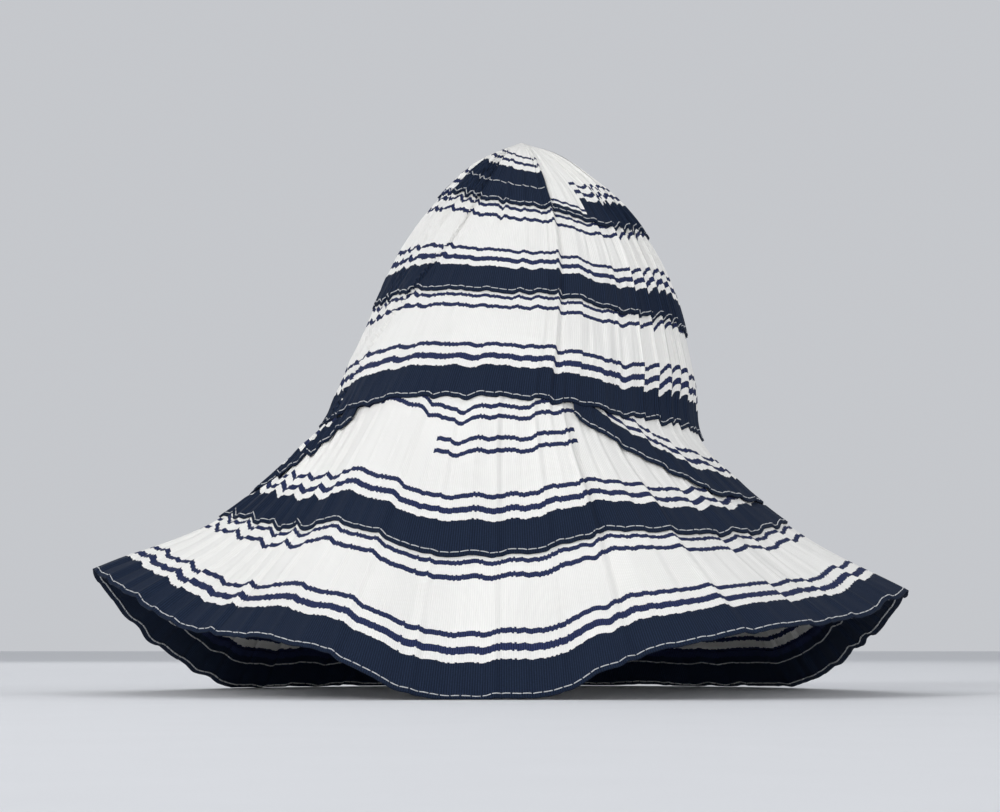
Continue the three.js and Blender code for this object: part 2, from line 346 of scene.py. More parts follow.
# The facing's navy, its paler woven edge, and the second line of stitches on it
FACING_STRIPES = (
    (0, "navy"),
    (0.0172, "indigo"),
)
FACING_SEAM = 0.0138

# Laps: the part of the tip row that lies level, how much further the crescent's hem stands
# out, and the shortest rise of a row over the next one
TIP_LEVEL_PART = 3
INSERT_HEM_RISE = 1.5
SHORTEST_RISE = 0.001

# Weave: painted shade in a groove between two ribs and the tone on a rib, on dark bands and on
# white (over 1 on the ribs of dark bands, a painted highlight), how sharp the painted groove
# shade is, and the noises that fleck the dark bands and wash the whole ribbon
DARK_RIB_SHADING = (-0.8, 1.25)
PALE_RIB_SHADING = (-0.07, 1)
GROOVE_SHADE_SHARPNESS = 3
FLECK_SCALE = 900
FLECK_STRETCH = (1, 3, 1)
FLECK_TONE = (1.0, 0.5)
WASH_SCALE = 22
WASH_TONE = (0.16, 0.92)

# Relief of the crossing threads and the flecks, as a share of the ribs'
WEFT_RELIEF = 0.12
FLECK_RELIEF = 0.35

# A stitch: how deep it lies along its length, as a share of the sink, and how its length strays
STITCH_SHAPE = ((0, 0.8), (0.1, 0.1), (0.5, 0), (0.9, 0.1), (1, 0.8))
STITCH_LENGTHS = (0.94, 1.04)


def rounded(column, angles):
    """One column of FOLDS at the given angles, with each fold rounded over a few degrees."""
    place = FOLD_COLUMNS.index(column)
    at = [fold[0] for fold in FOLDS]
    values = [fold[place] for fold in FOLDS]
    total = sum(weight for _, weight in FOLD_ROUNDING)
    parts = (
        weight * np.interp(angles + turn, at, values, period=360)
        for turn, weight in FOLD_ROUNDING
    )
    return sum(parts) / total


def smooth_step(value, low, high):
    """0 below low, 1 above high and a soft rise between them."""
    share = np.clip((value - low) / (high - low), 0, 1)
    return share * share * (3 - 2 * share)


def centripetal_curve(knots, steps):
    """Points of a centripetal Catmull-Rom curve through each line of knots."""
    first = 2 * knots[:, :1] - knots[:, 1:2]
    last = 2 * knots[:, -1:] - knots[:, -2:-1]
    all_knots = np.concatenate([first, knots, last], axis=1)
    gaps = np.sqrt(np.linalg.norm(np.diff(all_knots, axis=1), axis=2))
    share = np.linspace(0, 1, steps, endpoint=False)[None, :, None]
    spans = []
    for i in range(knots.shape[1] - 1):
        x0, x1, x2, x3 = (all_knots[:, i + k] for k in range(4))
        d0, d1, d2 = (gaps[:, i + k, None] for k in range(3))
        out = ((x1 - x0) / d0 - (x2 - x0) / (d0 + d1) + (x2 - x1) / d1) * d1
        into = ((x2 - x1) / d1 - (x3 - x1) / (d1 + d2) + (x3 - x2) / d2) * d1
        cubic = 2 * x1 - 2 * x2 + out + into
        square = -3 * x1 + 3 * x2 - 2 * out - into
        terms = (x1, out, square, cubic)
        spans.append(sum(term[:, None] * share**power for power, term in enumerate(terms)))
    spans.append(knots[:, -1:])
    return np.concatenate(spans, axis=1)


class Waves:
    """Smooth seeded noise over the hat, made of soft lattice values and closed all round."""

    def __init__(self, seed, round_count, down_step):
        self.values = np.random.default_rng(seed).uniform(-1, 1, (round_count, CELLS_DOWN))
        self.round_count = round_count
        self.down_step = down_step

    def at(self, angles, distances):
        """Values at an array of angles in degrees by distances in metres."""
        across = (angles % 360) / 360 * self.round_count
        down = distances / self.down_step
        left = np.floor(across).astype(int)
        top = np.clip(np.floor(down).astype(int), 0, CELLS_DOWN - 2)
        x = smooth_step(across - left, 0, 1)
        y = smooth_step(down - top, 0, 1)
        near = left % self.round_count
        far = (left + 1) % self.round_count
        upper = self.values[near, top] * (1 - x) + self.values[far, top] * x
        lower = self.values[near, top + 1] * (1 - x) + self.values[far, top + 1] * x
        return upper * (1 - y) + lower * y


class Cloth:
    """The hat's cloth surface: lines from the tip to the brim's edge at even angles."""

    def __init__(self, folds, wall):
        self.folds = folds
        self.wall = wall
        self.angles = -180 + np.arange(COLUMNS) * 360 / COLUMNS
        self.turn = np.radians(self.angles)
        self.seam_height = SEAM_HEIGHT + SEAM_RISE * rounded("rise", self.angles)
        self.lift = rounded("lift", self.angles)
        points = centripetal_curve(self.knots(), STEPS_PER_SPAN)
        lengths = np.linalg.norm(np.diff(points, axis=1), axis=2)
        reached = np.concatenate([np.zeros((COLUMNS, 1)), np.cumsum(lengths, axis=1)], axis=1)
        self.seam = reached[:, STEPS_PER_SPAN * (len(CROWN_SECTIONS) - 1)]
        self.edge = reached[:, -1]
        self.tip = TIP_WIDTH * rounded("tip", self.angles)
        spare = self.edge - self.seam - ROW_WIDTH - SLIVER_WIDTH
        self.insert = rounded("insert", self.angles) * spare
        self.lay_even(points, reached)
        self.make_tucks()

    def knots(self):
        """The crown's sections, the middle of the brim and its edge, for every line."""
        oval = np.stack([
            HEAD_HALF_WIDTH * np.sin(self.turn),
            -HEAD_HALF_LENGTH * np.cos(self.turn),
            np.zeros(COLUMNS),
        ], axis=1)
        outward = np.stack([
            np.sin(self.turn) / HEAD_HALF_WIDTH,
            -np.cos(self.turn) / HEAD_HALF_LENGTH,
            np.zeros(COLUMNS),
        ], axis=1)
        outward /= np.linalg.norm(outward, axis=1, keepdims=True)
        panel = self.panel_radius()
        top = CROWN_HEIGHT + SEAM_HEIGHT - self.seam_height
        lines = []
        for drop, length, width, shift, back in CROWN_SECTIONS:
            fullness = PANEL_FLATNESS * math.sin(math.pi * math.sqrt(drop))
            point = oval * (width, length, 0) * (1 + (panel - 1) * fullness)[:, None]
            point[:, 0] += CROWN_LEAN * shift
            point[:, 1] += CROWN_SET_BACK * back
            point[:, 2] = self.seam_height + top * (1 - drop)
            lines.append(point)
        reach = (BRIM_REACH * rounded("reach", self.angles))[:, None]
        edge = ARCH_HEIGHT * self.lift
        shares = (
            (rounded("half_out", self.angles), rounded("half_down", self.angles)),
            (np.ones(COLUMNS), np.ones(COLUMNS)),
        )
        for out, down in shares:
            point = oval + outward * reach * out[:, None]
            point[:, 2] = self.seam_height * (1 - down) + edge * down
            lines.append(point)
        return np.stack(lines, axis=1)

    def panel_radius(self):
        """Radius of the flat panels between the crown's creases, as a share of the oval's."""
        after = np.searchsorted(CROWN_CREASES, self.angles, side="right")
        after = np.clip(after, 1, len(CROWN_CREASES) - 1)
        creases = np.radians(CROWN_CREASES)
        half = (creases[after] - creases[after - 1]) / 2
        middle = (creases[after] + creases[after - 1]) / 2
        return np.cos(half) / np.cos(self.turn - middle)

    def lay_even(self, points, reached):
        """Spreads each line's points evenly, and works out the directions of the cloth there."""
        shares = np.linspace(0, 1, LINE_SAMPLES)
        even = np.empty((COLUMNS, LINE_SAMPLES, 3))
        for column in range(COLUMNS):
            at = shares * self.edge[column]
            for axis in range(3):
                even[column, :, axis] = np.interp(at, reached[column], points[column, :, axis])
        even[:, :, :2] += place_in_frame()
        around = np.roll(even, -2, axis=0) - np.roll(even, 2, axis=0)
        down = np.gradient(even, axis=1)
        normal = np.cross(down, around)
        length = np.linalg.norm(normal, axis=2, keepdims=True)
        normal = np.where(length > 1e-12, normal / np.maximum(length, 1e-12), (0, 0, 1))
        self.points = even
        self.normals = normal
        self.downs = down / np.maximum(np.linalg.norm(down, axis=2, keepdims=True), 1e-12)

    def sample(self, values, distances):
        """Values of the even lines at distances, an array of columns by rows."""
        place = np.clip(distances / self.edge[:, None], 0, 1) * (LINE_SAMPLES - 1)
        low = np.clip(np.floor(place).astype(int), 0, LINE_SAMPLES - 2)
        share = (place - low)[:, :, None]
        column = np.arange(COLUMNS)[:, None]
        return values[column, low] * (1 - share) + values[column, low + 1] * share

    def make_tucks(self):
        """Works out the steps of the cloth across its tucks, for the crown and the brim."""
        draw = np.random.default_rng(TUCK_SEED)
        tucks = list(TUCKS)
        gathers = {}
        places, spacing, strength = zip(*GATHERS)
        angle = TUCKS[-1][0] + GATHER_CLEARANCE
        while angle < TUCKS[0][0] + 360 - GATHER_CLEARANCE:
            near = ((angle + 180) % 360) - 180
            strong = np.interp(near, places, strength, period=360)
            step = np.interp(near, places, spacing, period=360)
            sign = 1 if draw.random() < 0.5 else -1
            size = sign * strong * draw.uniform(*GATHER_SIZES)
            tucks.append((near, size, size * BRIM_STEP_SHARE))
            gathers[near] = abs(size)
            angle += step * draw.uniform(*GATHER_SPACINGS)
        tucks.sort()
        turn = math.degrees(self.folds.tuck_width / 2 / TUCK_RADIUS)
        crown = [(at, size) for at, size, _ in tucks]
        brim = [(at, size) for at, _, size in tucks]
        depths = [(at, max(abs(size), gathers.get(at, 0))) for at, size in brim]
        self.crown_steps = soften(zigzag(self.angles, crown, turn))
        self.brim_steps = soften(soften(zigzag(self.angles, brim, turn)))
        self.crown_ridges = ridges(self.angles, [(at, abs(size)) for at, size in crown], turn)
        self.brim_ridges = ridges(self.angles, depths, turn)
        at, leans = zip(*TUCK_LEANS)
        self.lean = np.interp(self.angles, at, leans, period=360)
        self.crinkle = Waves(CRINKLE_SEED, *CRINKLE_CELLS)
        self.fine_crinkle = Waves(CRINKLE_SEED + 1, *FINE_CRINKLE_CELLS)
        self.drift = Waves(CRINKLE_SEED + 2, *DRIFT_CELLS)

    def place(self, distances, offset):
        """Points of the cloth at distances down each line and an offset out from it."""
        folds = self.folds
        edge = self.edge[:, None]
        seam = self.seam[:, None]
        out = smooth_step(distances, seam - SEAM_BLEND, seam + SEAM_BLEND)
        calm = 1 - (1 - EDGE_SHARE) * smooth_step(distances, edge - EDGE_CALM, edge)
        fade = smooth_step(distances, *TIP_CALM)
        angles = self.angles[:, None]
        turned = angles + self.lean[:, None] * (distances - LEAN_START)
        steps, ridge = (
            np.interp(turned, self.angles, crown, period=360) * (1 - out) + brim[:, None] * out
            for crown, brim in (
                (self.crown_steps, self.brim_steps),
                (self.crown_ridges, self.brim_ridges),
            )
        )
        drift = DRIFT_SHARE * self.drift.at(angles, distances)
        shift = folds.tuck_shift * fade * (steps * calm + drift)
        fine = FINE_CRINKLE_SHARE * self.fine_crinkle.at(angles, distances)
        crinkle = self.crinkle.at(angles, distances) + fine
        height = offset + fade * (folds.tuck_depth * ridge + folds.crinkle_depth * crinkle)
        normals = self.sample(self.normals, distances)
        points = self.sample(self.points, distances)
        points = points + self.sample(self.downs, distances) * shift[:, :, None]
        points = points + normals * height[:, :, None]
        lowest = folds.floor_gap + self.wall * np.maximum(normals[:, :, 2], 0)
        points[:, :, 2] = np.maximum(points[:, :, 2], lowest)
        return points


def zigzag(angles, tucks, half_turn):
    """Steps at the tucks, with an even drift from one tuck to the next."""
    at, values = [], []
    for angle, size in tucks:
        at += [angle - half_turn, angle + half_turn]
        values += [-size / 2, size / 2]
    return np.interp(angles, at, values, period=360)


def soften(steps):
    """Steps with their corners rounded over a few columns."""
    half = len(STEP_ROUNDING) // 2
    parts = (
        weight * np.roll(steps, place - half) for place, weight in enumerate(STEP_ROUNDING)
    )
    return sum(parts) / sum(STEP_ROUNDING)


def ridges(angles, tucks, half_turn):
    """A raised lip at each tuck, steep on one side, with a soft hollow on the other."""
    at, values = [], []
    for angle, size in tucks:
        at += [angle + place * half_turn for place, _ in RIDGE_SHAPE]
        values += [height * size for _, height in RIDGE_SHAPE]
    order = np.argsort(at)
    return np.interp(angles, np.array(at)[order], np.array(values)[order], period=360)


def place_in_frame():
    """Where the middle of the head opening lies in the frame, from the tip of the crown."""
    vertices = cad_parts["tip_row"].data.vertices
    peak = max((vertex.co for vertex in vertices), key=lambda co: co.z)
    shift, back = CROWN_SECTIONS[0][3:]
    return np.array([peak.x - CROWN_LEAN * shift, peak.y - CROWN_SET_BACK * back])


class Row:
    """One row of ribbon: where it starts, comes into sight and ends, and how far it laps."""

    def __init__(self, start, top, bottom, hem_rise=1.0, columns=None, drawn_out=False):
        self.start = start
        self.top = top
        self.bottom = bottom
        self.hem_rise = hem_rise
        self.columns = columns
        self.drawn_out = drawn_out

    def ribbon_width(self, distances):
        """How far up the ribbon from its lower edge each distance down the hat lies."""
        up = self.bottom[:, None] - distances
        if self.drawn_out:
            up = up / np.maximum((self.bottom - self.top) / SHOWN_WIDTH, 1)[:, None]
        return up

    def offset(self, distances, step):
        """How far out the row lies: on the cloth's line at first, and out over the next row."""
        span = np.maximum(self.bottom - LAP - self.top, SHORTEST_RISE)[:, None]
        rise = smooth_step((distances - self.top[:, None]) / span, 0, 1)
        return step * rise * np.reshape(self.hem_rise, (-1, 1))


def rows_of(cloth):
    """Every row of ribbon by its name, from the tip down."""
    middle = (cloth.tip + cloth.seam) / 2
    outer_top = cloth.edge - ROW_WIDTH
    crescent = cloth.seam + cloth.insert
    narrow = np.clip((LAP + INSERT_RAMP + INSERT_SPARE - cloth.insert) / INSERT_RAMP, 0, 1)
    crown_rise = 1 + narrow * np.clip(cloth.insert / INSERT_END_WIDTH, 0, 1)
    crescent_hem = crescent - LAP
    crescent_top = np.minimum(cloth.seam, crescent_hem - INSERT_RAMP)
    wide = np.flatnonzero(cloth.insert >= INSERT_END_WIDTH)
    back = np.flatnonzero(cloth.angles[wide] < 0)
    columns = np.concatenate([wide[len(back):], wide[: len(back)] + COLUMNS])
    inner_top = np.minimum(crescent, outer_top - LAP - SLIVER_STEP)
    return {
        "tip_row": Row(np.zeros(COLUMNS), (cloth.tip - LAP) / TIP_LEVEL_PART, cloth.tip),
        "crown_upper_row": Row(cloth.tip - LAP, cloth.tip, middle, drawn_out=True),
        "crown_lower_row": Row(middle - LAP, middle, cloth.seam, crown_rise, drawn_out=True),
        "brim_insert_row": Row(
            cloth.seam - LAP, crescent_top, crescent, INSERT_HEM_RISE, columns
        ),
        "brim_inner_row": Row(crescent - LAP, inner_top, outer_top),
        "brim_outer_row": Row(outer_top - LAP, outer_top, cloth.edge, 0.0, drawn_out=True),
    }


def grid_piece(name, columns, row_count, place, length, width, closed):
    """A sheet of cloth from a flat grid, laid on the hat by place, with its ribbon lengths.

    place gives a point for every column and row, length how far along the ribbon each column
    lies, and width how far up from the ribbon's lower edge each point lies.
    """
    count = len(columns) if closed else len(columns) - 1
    shape = bmesh.new()
    bmesh.ops.create_grid(shape, x_segments=count, y_segments=row_count, size=0.5)
    ribbon = shape.loops.layers.uv.new("ribbon")
    spots = {}
    for vertex in shape.verts:
        column = round((vertex.co.x + 0.5) * count)
        row = round((0.5 - vertex.co.y) * row_count)
        spots[vertex.index] = (column, row)
        vertex.co = place[columns[column % len(columns)] % COLUMNS, row]
    for face in shape.faces:
        face.smooth = True
        for loop in face.loops:
            column, row = spots[loop.vert.index]
            up = width[columns[column % len(columns)] % COLUMNS, row]
            loop[ribbon].uv = (length[column], up)
    bmesh.ops.remove_doubles(shape, verts=shape.verts, dist=WELD)
    mesh = bpy.data.meshes.new(name)
    shape.to_mesh(mesh)
    shape.free()
    piece = bpy.data.objects.new(name, mesh)
    bpy.context.scene.collection.objects.link(piece)
    return piece


def give_wall(piece, thickness):
    """Thickens a sheet inwards, so that its own face stays the outer one."""
    wall = piece.modifiers.new("wall", "SOLIDIFY")
    wall.thickness = thickness
    wall.offset = -1
    wall.use_even_offset = False
    wall.use_quality_normals = True


def along(line):
    """Length along a closed line of points up to each point, and once round to the first."""
    steps = np.linalg.norm(np.roll(line, -1, axis=0) - line, axis=1)
    return np.concatenate([[0], np.cumsum(steps)])


def build_row(cloth, name, row, row_count, ribbon):
    """One row of ribbon with its wall, lengths along its hem, and the size it was cut to."""
    shares = np.linspace(0, 1, row_count + 1)[None, :]
    distances = row.start[:, None] + (row.bottom - row.start)[:, None] * shares
    step = ribbon.thickness + ribbon.layer_gap
    offset = row.offset(distances, step) + ribbon.thickness
    place = cloth.place(distances, offset)
    length = along(place[:, -1])
    closed = row.columns is None
    columns = np.arange(COLUMNS) if closed else row.columns
    if not closed:
        length = np.concatenate([length[:-1], length[:-1] + length[-1]])[columns]
        length = length - length[0]
    width = row.ribbon_width(distances)
    piece = grid_piece(name + "_cloth", columns, row_count, place, length, width, closed)
    give_wall(piece, ribbon.thickness)
    widest = float((row.bottom - row.start)[columns % COLUMNS].max())
    flat = {
        "flat": (widest, float(length[-1])),
        "area": cloth_area(place[columns % COLUMNS], closed),
    }
    return piece, length, flat


def cloth_area(points, closed):
    """Area of a grid of points, by its quads."""
    if closed:
        points = np.concatenate([points, points[:1]])
    one = points[1:, 1:] - points[:-1, :-1]
    other = points[1:, :-1] - points[:-1, 1:]
    return float(np.linalg.norm(np.cross(one, other), axis=2).sum() / 2)


class Nodes:
    """Short calls to put nodes in a material and join them."""

    def __init__(self, name):
        self.material = bpy.data.materials.new(name)
        self.material.use_nodes = True
        self.tree = self.material.node_tree
        self.shader = self.tree.nodes["Principled BSDF"]

    def add(self, kind, inputs=None, **settings):
        """A node with its settings, and values or links for its inputs by name."""
        node = self.tree.nodes.new(kind)
        for name, value in settings.items():
            setattr(node, name, value)
        for name, value in (inputs or {}).items():
            self.feed(node.inputs[name], value)
        return node

    def feed(self, socket, value):
        """Links an output to a socket, or sets a plain value on it."""
        if isinstance(value, bpy.types.NodeSocket):
            self.tree.links.new(value, socket)
        else:
            socket.default_value = value

    def math(self, operation, *values):
        """The result of one sum."""
        node = self.add("ShaderNodeMath", operation=operation)
        for socket, value in zip(node.inputs, values):
            self.feed(socket, value)
        return node.outputs[0]

    def noise(self, place, scale, detail):
        """Soft noise at a place."""
        inputs = {"Vector": place, "Scale": scale, "Detail": detail}
        return self.add("ShaderNodeTexNoise", inputs).outputs[0]

    def mix_colours(self, factor, first, second):
        """One colour turning into another."""
        node = self.add("ShaderNodeMix", data_type="RGBA", blend_type="MIX")
        self.feed(node.inputs["Factor"], factor)
        self.feed(node.inputs["A"], first)
        self.feed(node.inputs["B"], second)
        return node.outputs["Result"]

    def mix_values(self, factor, first, second):
        """One value turning into another."""
        inputs = {"Factor": factor, "A": first, "B": second}
        return self.add("ShaderNodeMix", inputs, data_type="FLOAT").outputs[0]

    def tone_colour(self, colour, tone):
        """Gives the shader a colour times a tone."""
        toned = self.add("ShaderNodeVectorMath", operation="SCALE")
        self.feed(toned.inputs[0], colour)
        self.feed(toned.inputs["Scale"], tone)
        self.feed(self.shader.inputs["Base Color"], toned.outputs[0])

    def raise_surface(self, height, strength, distance):
        """Gives the shader a relief of a height."""
        inputs = {"Height": height, "Strength": strength, "Distance": distance}
        bump = self.add("ShaderNodeBump", inputs)
        self.feed(self.shader.inputs["Normal"], bump.outputs[0])

    def ribbon_place(self):
        """Place on the ribbon, and its parts along the ribbon and up it."""
        uv = self.add("ShaderNodeUVMap", uv_map="ribbon")
        split = self.add("ShaderNodeSeparateXYZ", {"Vector": uv.outputs[0]})
        return uv.outputs[0], split.outputs[0], split.outputs[1]


def band_ramp(nodes, factor, bands, reach, colours):
    """Hard-edged bands of colour up the ribbon."""
    ramp = nodes.add("ShaderNodeValToRGB", {"Fac": factor})
    ramp.color_ramp.interpolation = "CONSTANT"
    stops = ramp.color_ramp.elements
    stops[0].color = colours[bands[0][1]]
    stops.remove(stops[1])
    for start, colour in bands[1:]:
        stops.new(start / reach).color = colours[colour]
    return ramp.outputs[0]


def band_colours(nodes, share, length, bands, patches, reach, colours):
    """Bands of colour up the ribbon, with other bands inside each patch along it."""
    result = band_ramp(nodes, share, bands, reach, colours)
    for first, last, patch_bands in patches:
        after = nodes.math("GREATER_THAN", length, first)
        before = nodes.math("LESS_THAN", length, last)
        other = band_ramp(nodes, share, patch_bands, reach, colours)
        result = nodes.mix_colours(nodes.math("MULTIPLY", after, before), result, other)
    return result


def weave_tone_and_shading(nodes, uv, ribs, fleck, dark):
    """How light the weave is: painted shade in its grooves and, on dark bands, a painted highlight
    on the rib crests; washed, and flecked on dark bands.
    """
    # Painted shade: the colour is darkened in the grooves between the ribs, and on dark bands the
    # rib crests are lit past their colour as a painted highlight
    groove_shade = nodes.math("POWER", nodes.math("SUBTRACT", 1, ribs), GROOVE_SHADE_SHARPNESS)
    dark_rib_shading = nodes.math("MULTIPLY_ADD", groove_shade, *DARK_RIB_SHADING)
    pale_rib_shading = nodes.math("MULTIPLY_ADD", groove_shade, *PALE_RIB_SHADING)
    washed = nodes.math("MULTIPLY_ADD", nodes.noise(uv, WASH_SCALE, 2), *WASH_TONE)
    flecks = nodes.math("MULTIPLY_ADD", fleck, *FLECK_TONE)
    rib_shaded = nodes.mix_values(dark, pale_rib_shading, dark_rib_shading)
    flecked = nodes.mix_values(dark, washed, nodes.math("MULTIPLY", flecks, washed))
    return nodes.math("MULTIPLY", rib_shaded, flecked)


def ribbed_ribbon(name, bands, reach, ribbon, patches=()):
    """Woven ribbon with ribs across it, bands of colour along it and a soft, dry surface.

    Each patch gives where along the ribbon other bands start and end, and those bands.
    """
    nodes = Nodes(name)
    uv, length, width = nodes.ribbon_place()
    rib = nodes.math("DIVIDE", length, ribbon.rib_pitch)
    each = nodes.add(
        "ShaderNodeTexWhiteNoise", {"W": nodes.math("FLOOR", rib)}, noise_dimensions="1D"
    ).outputs[0]
    ragged = nodes.math("MULTIPLY", nodes.math("SUBTRACT", each, 0.5), ribbon.edge_raggedness)
    share = nodes.math("DIVIDE", nodes.math("ADD", width, ragged), reach)
    colours = {tone: (*getattr(ribbon, tone), 1) for tone in ("navy", "indigo", "white")}
    darkness = {tone: (tone != "white",) * 3 + (1,) for tone in colours}
    colour, dark = (
        band_colours(nodes, share, length, bands, patches, reach, tones)
        for tones in (colours, darkness)
    )
    wave = nodes.math("SINE", nodes.math("MULTIPLY", rib, 2 * math.pi))
    ribs = nodes.math("MULTIPLY_ADD", wave, 0.5, 0.5)
    stretch = nodes.add("ShaderNodeMapping", {"Vector": uv, "Scale": FLECK_STRETCH})
    fleck = nodes.noise(stretch.outputs[0], FLECK_SCALE, 3)
    # The ribbon's colour is toned with painted shade in the rib grooves and painted highlights on
    # dark rib crests, besides the washes and flecks
    nodes.tone_colour(colour, weave_tone_and_shading(nodes, uv, ribs, fleck, dark))
    weft = nodes.math("SINE", nodes.math("MULTIPLY", width, 2 * math.pi / ribbon.weft_pitch))
    height = nodes.math("ADD", ribs, nodes.math("MULTIPLY", weft, WEFT_RELIEF))
    height = nodes.math("ADD", height, nodes.math("MULTIPLY", fleck, FLECK_RELIEF))
    nodes.raise_surface(height, 0.5, ribbon.rib_height)
    nodes.shader.inputs["Roughness"].default_value = 0.85
    nodes.shader.inputs["Specular IOR Level"].default_value = 0.15
    return nodes.material


def thread_material(ribbon):
    """Twisted cotton thread."""
    nodes = Nodes("cotton_thread")
    place = nodes.add("ShaderNodeTexCoord").outputs["Object"]
    noise = nodes.noise(place, 1400, 2)
    nodes.tone_colour((*ribbon.thread,), nodes.math("MULTIPLY_ADD", noise, 0.35, 0.78))
    nodes.raise_surface(noise, 0.4, 0.0001)
    nodes.shader.inputs["Roughness"].default_value = 0.7
    return nodes.material


def patch_spans(patches, angles, length):
    """The patches with where along the ribbon each starts and ends, from their angles."""
    spans = []
    for ends, bands in patches:
        first, last = (float(np.interp(end, angles, length)) for end in ends)
        spans.append((first, last, bands))
    return spans


def span_of(reached, columns):
    """Lengths along a closed line at which a run of columns starts and ends."""
    turns, last = divmod(columns[-1], COLUMNS)
    return reached[columns[0]], reached[last] + turns * reached[-1]


class Needle:
    """Sews lines of stitches on the cloth, each stitch a short bent thread."""

    def __init__(self, cloth, ribbon):
        self.cloth = cloth
        self.ribbon = ribbon
        self.material = thread_material(ribbon)

    def sew(self, name, at, out, inward, radius, columns=None):
        """Stitches at a distance down the hat, sunk inward or outward at their ends."""
        sink = -self.ribbon.stitch_sink if inward else self.ribbon.stitch_sink
        surface = self.cloth.place(at[:, None], out)[:, 0]
        under = self.cloth.place(at[:, None], out + sink)[:, 0]
        threads = bpy.data.curves.new(name, "CURVE")
        threads.dimensions = "3D"
        threads.bevel_depth = radius
        threads.bevel_resolution = 1
        threads.use_fill_caps = True
        self.lay(threads, surface, under, columns)
        self.finish(threads, name)

    def lay(self, threads, surface, under, columns):
        """One spline for each stitch, evenly along the line or a run of its columns."""
        ribbon = self.ribbon
        reached = along(surface)
        start, end = (0, reached[-1]) if columns is None else span_of(reached, columns)
        count = int((end - start) / (ribbon.stitch_length + ribbon.stitch_gap))
        pitch = (end - start) / count
        loop = np.concatenate([surface, surface[:1]])
        sunk = np.concatenate([under, under[:1]])
        shares, depths = (np.array(values) for values in zip(*STITCH_SHAPE))
        draw = np.random.default_rng(TUCK_SEED)
        for i in range(count):
            long = ribbon.stitch_length * draw.uniform(*STITCH_LENGTHS)
            at = (start + i * pitch + long * shares) % reached[-1]
            high = np.stack([np.interp(at, reached, loop[:, k]) for k in range(3)], axis=1)
            low = np.stack([np.interp(at, reached, sunk[:, k]) for k in range(3)], axis=1)
            points = high * (1 - depths[:, None]) + low * depths[:, None]
            spline = threads.splines.new("POLY")
            spline.points.add(len(points) - 1)
            for spot, point in zip(spline.points, points):
                spot.co = (*point, 1)

    def finish(self, threads, name):
        """Makes the stitches one mesh piece that rides with the hat."""
        source = bpy.data.objects.new(name + "_line", threads)
        mesh = bpy.data.meshes.new_from_object(source)
        mesh.name = name
        mesh.materials.clear()
        mesh.materials.append(self.material)
        bpy.data.objects.remove(source)
        bpy.data.curves.remove(threads)
        piece = bpy.data.objects.new(name, mesh)
        bpy.context.scene.collection.objects.link(piece)
        for polygon in mesh.polygons:
            polygon.use_smooth = True
        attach(piece, BODY)


class RibbonSettings(bpy.types.PropertyGroup):
    """Sizes and colours of the ribbon and its thread"""

    thickness: FloatProperty(
        name="Thickness", description="Thickness of the ribbon",
        default=0.0008, min=0.0003, unit="LENGTH",
    )
    layer_gap: FloatProperty(
        name="Layer gap", description="Room between two lapped layers",
        default=0.0003, min=0, unit="LENGTH",
    )
    rib_pitch: FloatProperty(
        name="Rib pitch", description="Distance from one rib to the next along the ribbon",
        default=0.00095, min=0.0002, unit="LENGTH",
    )
    rib_height: FloatProperty(
        name="Rib height", description="Height of a rib",
        default=0.00016, min=0, unit="LENGTH",
    )
    weft_pitch: FloatProperty(
        name="Thread pitch", description="Distance between threads up the ribbon",
        default=0.0004, min=0.0001, unit="LENGTH",
    )
    edge_raggedness: FloatProperty(
        name="Stripe raggedness", description="How far the edge of a stripe steps from rib to rib",
        default=0.0006, min=0, unit="LENGTH",
    )
    stitch_length: FloatProperty(
        name="Stitch length", description="Length of one stitch",
        default=0.0036, min=0.001, unit="LENGTH",
    )
    stitch_gap: FloatProperty(
        name="Stitch gap", description="Gap from one stitch to the next",
        default=0.00025, min=0, unit="LENGTH",
    )
    stitch_inset: FloatProperty(
        name="Stitch inset", description="How far the stitching lies from a hem",
        default=0.0017, min=0.0005, unit="LENGTH",
    )
    stitch_sink: FloatProperty(
        name="Stitch sink", description="How far the ends of a stitch sink into the cloth",
        default=0.0006, min=0, unit="LENGTH",
    )
    thread_radius: FloatProperty(
        name="Thread radius", description="Radius of the sewing thread",
        default=0.00021, min=0.0001, unit="LENGTH",
    )
    bold_thread_radius: FloatProperty(
        name="Bold thread radius", description="Radius of the thread on the facing",
        default=0.00031, min=0.0001, unit="LENGTH",
    )
    facing_inset: FloatProperty(
        name="Facing inset", description="How far the edge stitching lies inside the facing",
        default=0.0009, min=0.0001, unit="LENGTH",
    )
    white: FloatVectorProperty(
        name="White", description="The pale ground of the ribbon",
        default=(0.83, 0.82, 0.79), size=3, min=0, max=1, subtype="COLOR",
    )
    navy: FloatVectorProperty(
        name="Navy", description="The wide bands of the ribbon",
        default=(0.0088, 0.0165, 0.037), size=3, min=0, max=1, subtype="COLOR",
    )
    indigo: FloatVectorProperty(
        name="Indigo", description="The thin stripes of the ribbon",
        default=(0.0185, 0.027, 0.078), size=3, min=0, max=1, subtype="COLOR",
    )
    thread: FloatVectorProperty(
        name="Thread", description="The sewing thread",
        default=(0.55, 0.56, 0.57), size=3, min=0, max=1, subtype="COLOR",
    )


class FoldSettings(bpy.types.PropertyGroup):
    """Sizes of the tucks and creases of the cloth"""

    tuck_shift: FloatProperty(
        name="Tuck shift", description="How far the stripes step down the hat across a tuck",
        default=0.0021, min=0, unit="LENGTH",
    )
    tuck_depth: FloatProperty(
        name="Tuck depth", description="How far the lip of a tuck stands out",
        default=0.0008, min=0, unit="LENGTH",
    )
    tuck_width: FloatProperty(
        name="Tuck width", description="How far along the ribbon a tuck's step reaches",
        default=0.0022, min=0.0005, unit="LENGTH",
    )
    crinkle_depth: FloatProperty(
        name="Crinkle depth", description="Depth of the soft creases between the tucks",
        default=0.00045, min=0, unit="LENGTH",
    )
    floor_gap: FloatProperty(
        name="Floor gap", description="Lowest height of the cloth",
        default=0.00025, min=0, unit="LENGTH",
    )


